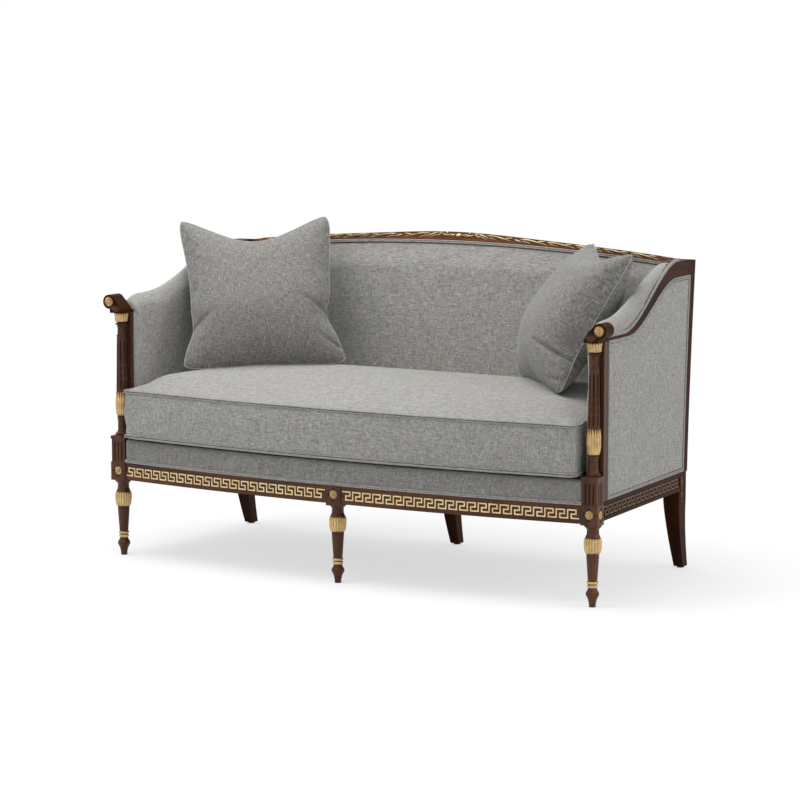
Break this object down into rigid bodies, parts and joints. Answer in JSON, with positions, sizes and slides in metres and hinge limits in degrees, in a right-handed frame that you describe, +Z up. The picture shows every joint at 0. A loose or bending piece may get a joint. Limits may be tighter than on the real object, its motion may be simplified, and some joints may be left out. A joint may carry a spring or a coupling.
{
  "type": "loveseat",
  "caption": "Neoclassical show-wood loveseat with turned front legs, sabre rear legs, fluted arm columns, gilt key band, tight back, bench cushion and throw pillows.",
  "frame": {"origin": "on the floor, in the middle of the whole piece's width and depth", "axes": "+X to the viewer's right along the seat, +Y towards the back, +Z up"},
  "size_m": [1.569, 0.7328, 0.9243],
  "materials": {
    "walnut": "dark satin polish",
    "beech": "plain sawn",
    "antique_gilt": "antique gilding, slightly rubbed",
    "steel": "plain zinc",
    "black_nylon": "matt",
    "black_cloth": "non-woven cambric",
    "jute": "woven webbing",
    "grey_linen": "plain linen weave",
    "pillow_linen": "plain linen weave",
    "deck_cloth": "deck cloth over padding"
  },
  "bodies": {
    "frame": {"front_leg_left": "walnut", "front_leg_right": "walnut", "front_leg_centre": "walnut", "rear_leg_left": "walnut", "rear_leg_right": "walnut", "rear_leg_centre": "walnut", "arm_column_left": "walnut", "arm_column_right": "walnut", "arm_stump_left": "walnut", "arm_stump_right": "walnut", "arm_scroll_left": "walnut", "arm_scroll_right": "walnut", "arm_rail_left": "walnut", "arm_rail_right": "walnut", "front_seat_rail": "walnut", "side_seat_rail_left": "walnut", "side_seat_rail_right": "walnut", "back_seat_rail": "walnut", "crest_rail": "walnut", "lower_arm_rails": "beech", "back_uprights": "beech", "seat_stretchers": "beech", "corner_blocks": "beech", "corner_block_screws": "steel", "rail_dowels": "beech", "foot_glides": "black_nylon", "leg_collars": "antique_gilt", "ankle_rings": "antique_gilt", "column_collars": "antique_gilt", "column_capitals": "antique_gilt", "block_rosettes": "antique_gilt", "scroll_rosettes": "antique_gilt", "key_band_front_left": "antique_gilt", "key_band_front_right": "antique_gilt", "key_band_side_left": "antique_gilt", "key_band_side_right": "antique_gilt", "crest_carving": "antique_gilt", "rear_leg_drops": "antique_gilt", "seat_springs": "steel", "spring_clips": "steel", "deck_pad": "deck_cloth", "deck_border": "grey_linen", "deck_welt": "grey_linen", "dust_cover": "black_cloth", "back_webbing": "jute", "inside_back_pad": "grey_linen", "back_welt": "grey_linen", "outside_back_panel": "grey_linen", "outside_back_welt": "grey_linen", "inside_arm_pad_left": "grey_linen", "inside_arm_pad_right": "grey_linen", "arm_welts": "grey_linen", "outside_arm_panel_left": "grey_linen", "outside_arm_panel_right": "grey_linen", "outside_arm_welts": "grey_linen"},
    "cushion": {"seat_cushion": "grey_linen"},
    "pillow_left": {"throw_pillow_left": "pillow_linen"},
    "pillow_right": {"throw_pillow_right": "pillow_linen"}
  },
  "joints": [
    {"name": "cushion_lift", "type": "slide", "parent": "frame", "child": "cushion", "axis": [0, 0, 1], "range_m": [0, 0.25]},
    {"name": "pillow_left_lift", "type": "slide", "parent": "cushion", "child": "pillow_left", "axis": [0, 0, 1], "range_m": [0, 0.5]},
    {"name": "pillow_right_lift", "type": "slide", "parent": "cushion", "child": "pillow_right", "axis": [0, 0, 1], "range_m": [0, 0.5]}
  ]
}
